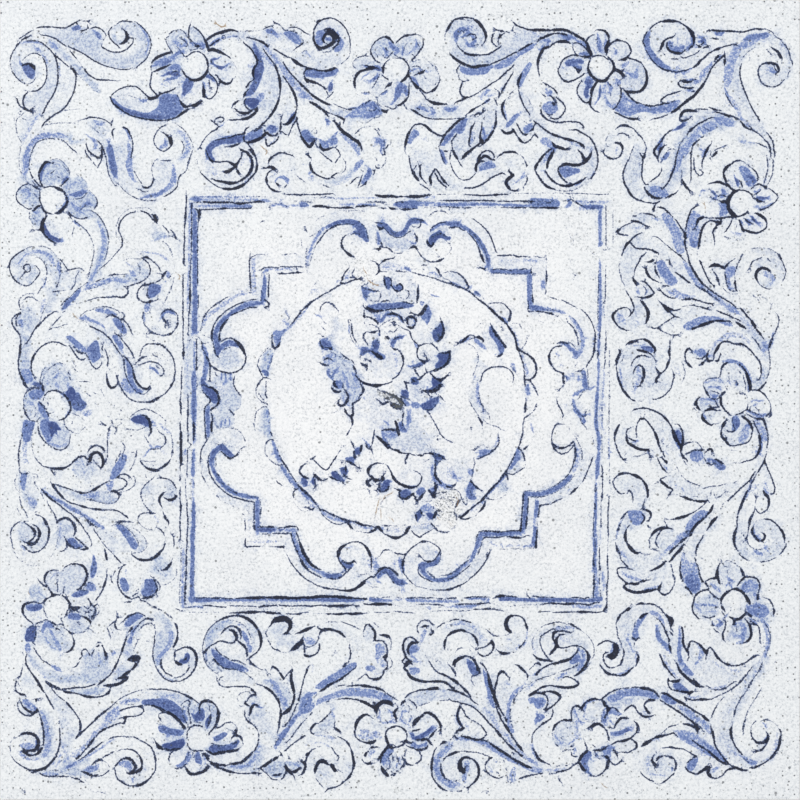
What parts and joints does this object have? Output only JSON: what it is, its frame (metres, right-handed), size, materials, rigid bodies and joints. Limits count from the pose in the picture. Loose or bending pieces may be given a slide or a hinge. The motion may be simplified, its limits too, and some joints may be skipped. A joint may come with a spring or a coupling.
{
  "type": "porcelain tile",
  "caption": "Square glazed porcelain floor or wall tile with a painted blue-and-white scroll border, framed medallion and keyed back.",
  "frame": {"origin": "middle of the plane that the back's ribs stand on", "axes": "+Z from the back up through the glazed face; +X to the right and +Y to the top of the pattern, along the tile's edges"},
  "size_m": [0.6, 0.6, 0.01],
  "materials": {
    "glazed_porcelain": "aged matt glaze with a cobalt blue printed pattern"
  },
  "bodies": {
    "root": {"tile": "glazed_porcelain"}
  },
  "joints": []
}
